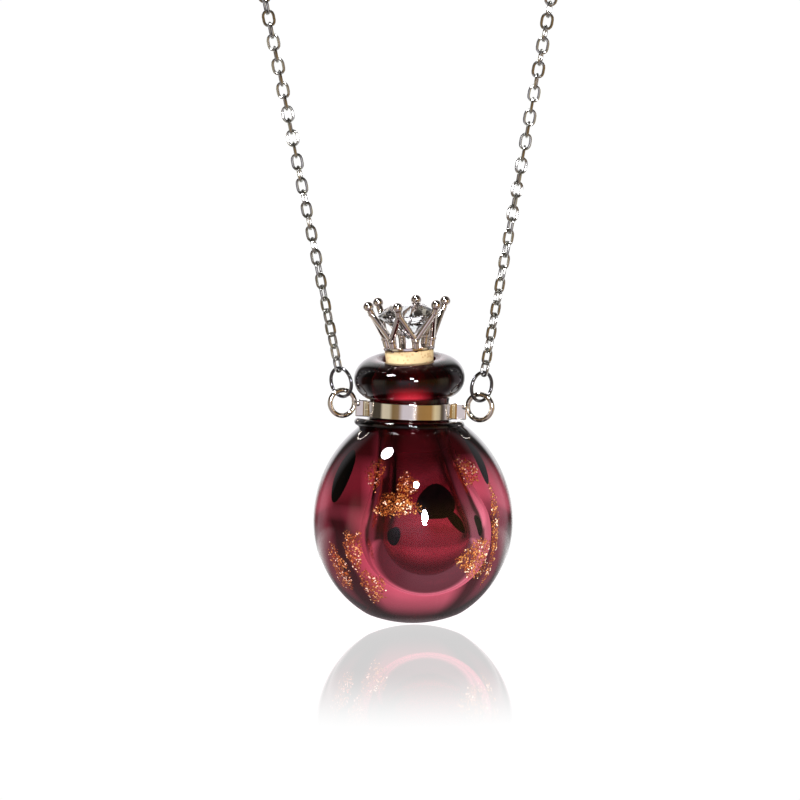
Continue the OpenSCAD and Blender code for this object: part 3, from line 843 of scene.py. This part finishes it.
# %% Clasp
CLASP_EDGE = 0.25
near_rim, flat_rim = CLASP_R - CLASP_EDGE * 0.3, CLASP_R - CLASP_EDGE
barrel = np.array([[0, -1], [flat_rim, -1], [near_rim, -1], [CLASP_R, -1], [CLASP_R, 1], [near_rim, 1],
                   [flat_rim, 1], [0, 1]])
barrel[:, 1] *= CLASP_LEN / 2
barrel[[2, 5], 1] *= 1 - CLASP_EDGE * 0.6 / CLASP_LEN
barrel[[3, 4], 1] *= 1 - CLASP_EDGE * 2 / CLASP_LEN
place, lean = on_loop(loop_slip)
clasp = [turned(*barrel.T, 48)]
for end in (-1, 1):
    clasp.append(placed(ring(CLASP_RING_R, CLASP_WIRE_R, 48, 14), turn("z", 90),
                        [0, 0, end * (clasp_reach - CLASP_RING_R)]))
clasp_drop = LOOP_R * (1 - np.cos(clasp_reach / LOOP_R))
clasp_turn = turn("y", float(lean))
clasp = [placed(p, clasp_turn, place + clasp_turn @ [-clasp_drop, 0, 0]) for p in clasp]
piece("clasp_barrel", clasp, "necklace", chain_silver, ["clasp"])

# %% [markdown]
# Shiny things are lit by what surrounds them, so the room is a ring of plain
# screens: white behind with a brighter window in its middle, a grey one and a
# cream one at each side, dark and brown gaps between them and a pale one in
# front. The gaps give silver and glass their dark streaks. The rear screens
# reach higher than the others. One group works out the tone from the way in
# which light leaves. The table uses it too, so both agree at the horizon.

# %% Screens round the table
SCREENS = [
    # angle to the right of the camera's side, colour
    (-180, (1.15, 1.15, 1.15)), (-161, (1.3, 1.3, 1.3)), (-150, (0.14, 0.12, 0.12)),
    (-143, (0.14, 0.12, 0.12)), (-136, (0.44, 0.41, 0.44)), (-125, (0.44, 0.41, 0.43)),
    (-114, (0.06, 0.05, 0.04)), (-84, (0.06, 0.05, 0.04)), (-76, (0.60, 0.54, 0.44)),
    (-56, (0.55, 0.50, 0.40)), (-46, (0.20, 0.13, 0.06)), (-30, (0.24, 0.16, 0.09)),
    (-18, (0.60, 0.56, 0.66)), (8, (0.60, 0.56, 0.66)), (20, (0.30, 0.17, 0.06)),
    (58, (0.34, 0.19, 0.065)), (70, (0.64, 0.54, 0.36)), (84, (0.50, 0.42, 0.30)),
    (92, (0.08, 0.06, 0.04)), (102, (0.12, 0.10, 0.10)), (110, (0.42, 0.38, 0.40)),
    (134, (0.46, 0.43, 0.46)), (142, (0.09, 0.08, 0.08)), (151, (0.12, 0.11, 0.11)),
    (162, (1.1, 1.1, 1.1)), (180, (1.15, 1.15, 1.15)),
]
ROOM_LIGHT = 1.02


def make_room_group():
    """Group: the angle round the vertical picks a screen, and above its top edge the room is dark."""
    tree = bpy.data.node_groups.new("room_tone", "ShaderNodeTree")
    tree.interface.new_socket("Direction", in_out="INPUT", socket_type="NodeSocketVector")
    tree.interface.new_socket("Color", in_out="OUTPUT", socket_type="NodeSocketColor")
    given, out = tree.nodes.new("NodeGroupInput"), tree.nodes.new("NodeGroupOutput")
    way = add(tree, "ShaderNodeVectorMath", {"operation": "NORMALIZE"}, _0=given.outputs["Direction"])
    split = add(tree, "ShaderNodeSeparateXYZ", Vector=way.outputs[0])
    front = calc(tree, "MULTIPLY", split.outputs["Y"], -1.0)
    angle = calc(tree, "ARCTAN2", split.outputs["X"], front)
    screens = ramp_node(tree, ranged(tree, angle, -np.pi, np.pi),
                        [((degrees + 180) / 360, color) for degrees, color in SCREENS])
    window = calc(tree, "MULTIPLY", ranged(tree, split.outputs["Z"], 0.02, 0.10, smooth=True),
                  ranged(tree, split.outputs["Y"], 0.82, 0.93, smooth=True))
    screens = blend(tree, window, screens, (1.6, 1.55, 1.6, 1))
    top_edge = ranged(tree, split.outputs["Y"], 0.0, 0.5, 0.0, 0.43, smooth=True)
    above = ranged(tree, calc(tree, "SUBTRACT", split.outputs["Z"], top_edge), 0.02, 0.46, smooth=True)
    tree.links.new(blend(tree, above, screens, (0.035, 0.03, 0.025, 1)), out.inputs["Color"])
    return tree


room_group = make_room_group()
print("screens:", len(SCREENS))

# %% [markdown]
# The bottle's foot is a hair above a pale glossy table. The camera sees it plain
# white with a faint mirror image that fades out with distance from the pendant.
# What glass and silver see is grey in front of the pendant and under it, with a
# white strip behind it that draws the bright crescent in the glass. Farther out it
# turns into the tone of the room.

# %% Table
TABLE_HALF = 4.0  # metres from the middle to each edge
FOOT_GAP = 0.2
floor_z = body_mid[2] - BASE_DROP - FOOT_GAP
corners = [(x * TABLE_HALF, y * TABLE_HALF, floor_z * MM) for x, y in ((-1, -1), (1, -1), (1, 1), (-1, 1))]
floor_mesh = bpy.data.meshes.new("table_top")
floor_mesh.from_pydata(corners, [], [(0, 1, 2, 3)])
table_top = bpy.data.objects.new("table_top", floor_mesh)
bpy.context.scene.collection.objects.link(table_top)
table_white = new_material("table_white")[0]
tree = table_white.node_tree


def vector_math(operation, *values):
    """One vector operation on places in metres."""
    sockets = {f"_{i}": value for i, value in enumerate(values)}
    return add(tree, "ShaderNodeVectorMath", {"operation": operation}, **sockets)


here = vector_math("SUBTRACT", object_place(tree), tuple(np.array([body_mid[0], 0, floor_z]) * MM)).outputs[0]
room = tree.nodes.new("ShaderNodeGroup")
room.node_tree = room_group
tree.links.new(here, room.inputs["Direction"])
split = add(tree, "ShaderNodeSeparateXYZ", Vector=here)
far = ranged(tree, vector_math("LENGTH", here).outputs["Value"], 0.0, 0.16, smooth=True)
near = ramp_node(tree, ranged(tree, split.outputs["Y"], 0.0, 0.1), [
    (0.10, (0.26, 0.22, 0.23)), (0.34, (1.7, 1.7, 1.7)), (0.48, (1.7, 1.7, 1.7)), (0.60, (1.0, 1.0, 1.0))])
camera_ray = add(tree, "ShaderNodeLightPath").outputs["Is Camera Ray"]
seen = blend(tree, camera_ray, blend(tree, far, near, room.outputs["Color"]), (1, 1, 1, 1))
glow = add(tree, "ShaderNodeEmission", Color=seen, Strength=ROOM_LIGHT)
mirror = add(tree, "ShaderNodeBsdfGlossy", Color=(1, 0.86, 0.88, 1), Roughness=0.02)
oval = vector_math("LENGTH", vector_math("MULTIPLY", here, (1.8, 1, 1)).outputs[0]).outputs["Value"]
faint = calc(tree, "MULTIPLY", ranged(tree, oval, 0.040, 0.088, 0.38, 0.0, smooth=True), camera_ray)
mixed = add(tree, "ShaderNodeMixShader", _0=faint, _1=glow.outputs[0], _2=mirror.outputs[0])
tree.links.new(mixed.outputs[0], tree.nodes["Material Output"].inputs["Surface"])
floor_mesh.materials.append(table_white)
print("table at", round(float(floor_z), 2))

# %% [markdown]
# The camera sees the room plain white. Only reflected and bent light sees the
# screens. Three small soft lights make the sharp highlights: one high at the
# left, one above the camera and a tall one beside it. They don't shine through
# the glass, because their bent images would be stray streaks at its rim.

# %% Room and lights
world = bpy.data.worlds.new("white_room")
bpy.context.scene.world = world
world.use_nodes = True
tree = world.node_tree
room = tree.nodes.new("ShaderNodeGroup")
room.node_tree = room_group
tree.links.new(add(tree, "ShaderNodeTexCoord").outputs["Generated"], room.inputs["Direction"])
camera_ray = add(tree, "ShaderNodeLightPath").outputs["Is Camera Ray"]
tree.links.new(blend(tree, camera_ray, room.outputs["Color"], (1.0, 1.0, 1.0, 1)),
               tree.nodes["Background"].inputs["Color"])
tree.nodes["Background"].inputs["Strength"].default_value = ROOM_LIGHT


def soft_light(name, place, wide, high, watts):
    """An oval light that looks at the pendant's body, all in millimetres from it."""
    data = bpy.data.lights.new(name, "AREA")
    data.energy, data.shape, data.size, data.size_y = watts, "ELLIPSE", wide * MM, high * MM
    data.color = (0.96, 0.93, 1.0)
    obj = bpy.data.objects.new(name, data)
    bpy.context.scene.collection.objects.link(obj)
    obj.visible_transmission = False
    obj.location = Vector(body_mid + place) * MM
    obj.rotation_euler = (-Vector(place)).to_track_quat("-Z", "Y").to_euler()


soft_light("top_light", [-187, -89, 399], 95, 95, 2.4)
soft_light("front_light", [35, -400, 306], 66, 66, 1.3)
soft_light("window_light", [160, -677, 76], 100, 190, 2.6)
print("lights:", [light.name for light in bpy.data.lights])

# %% [markdown]
# The camera looks slightly down from straight ahead, through a long lens, and
# takes in 100 mm at the pendant. It is rolled by half a degree, as the picture is.

# %% Camera
VIEW_WIDE, DISTANCE, LOOK_DOWN, ROLL = 100.0, 450.0, 4.0, 0.57
SENSOR = 36  # width of the picture behind the lens
look_at = np.array([-1.51, 0, -168.73])
camera_data = bpy.data.cameras.new("camera")
camera_data.lens = SENSOR * DISTANCE / VIEW_WIDE
camera_data.clip_start, camera_data.clip_end = 0.01, 20
camera = bpy.data.objects.new("camera", camera_data)
bpy.context.scene.collection.objects.link(camera)
down = np.radians(LOOK_DOWN)
camera.location = (look_at + DISTANCE * np.array([0, -np.cos(down), np.sin(down)])) * MM
camera.rotation_mode = "QUATERNION"
tip, roll = Quaternion((1, 0, 0), np.pi / 2 - down), Quaternion((0, 0, 1), -np.radians(ROLL))
camera.rotation_quaternion = tip @ roll
bpy.context.scene.camera = camera
bpy.context.scene.view_settings.view_transform = "Standard"
print("camera at", np.round(np.array(camera.location) / MM, 1))
